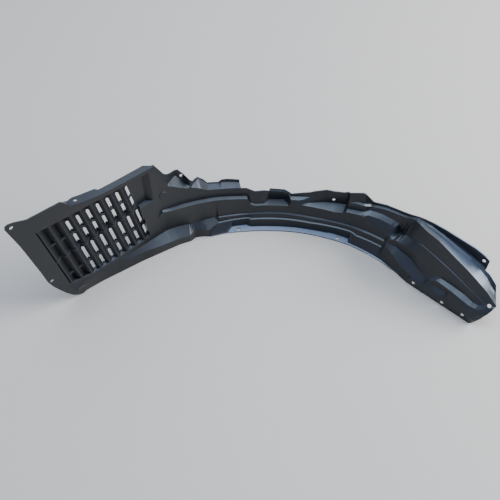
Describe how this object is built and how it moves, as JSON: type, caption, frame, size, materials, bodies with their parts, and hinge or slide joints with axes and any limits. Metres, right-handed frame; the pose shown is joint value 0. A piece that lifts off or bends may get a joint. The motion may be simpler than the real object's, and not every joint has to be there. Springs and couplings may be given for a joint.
{
  "type": "wheel arch liner",
  "caption": "Front wheel arch liner: a thin moulded arch with stepped ledges, a clipped outer lip, a rear shelf and a flat panel with sloping air louvres ahead of the wheel.",
  "frame": {"origin": "centre of the front clip hole in the fender lip, on the lip's underside, as the part lies on its lip", "axes": "+X rearwards along the car, +Y away from the wheel, +Z along the wheel axle towards the inboard side"},
  "size_m": [0.9339, 0.3101, 0.311],
  "materials": {
    "black_plastic": "satin, fine moulded grain"
  },
  "bodies": {
    "root": {"liner": "black_plastic"}
  },
  "joints": []
}
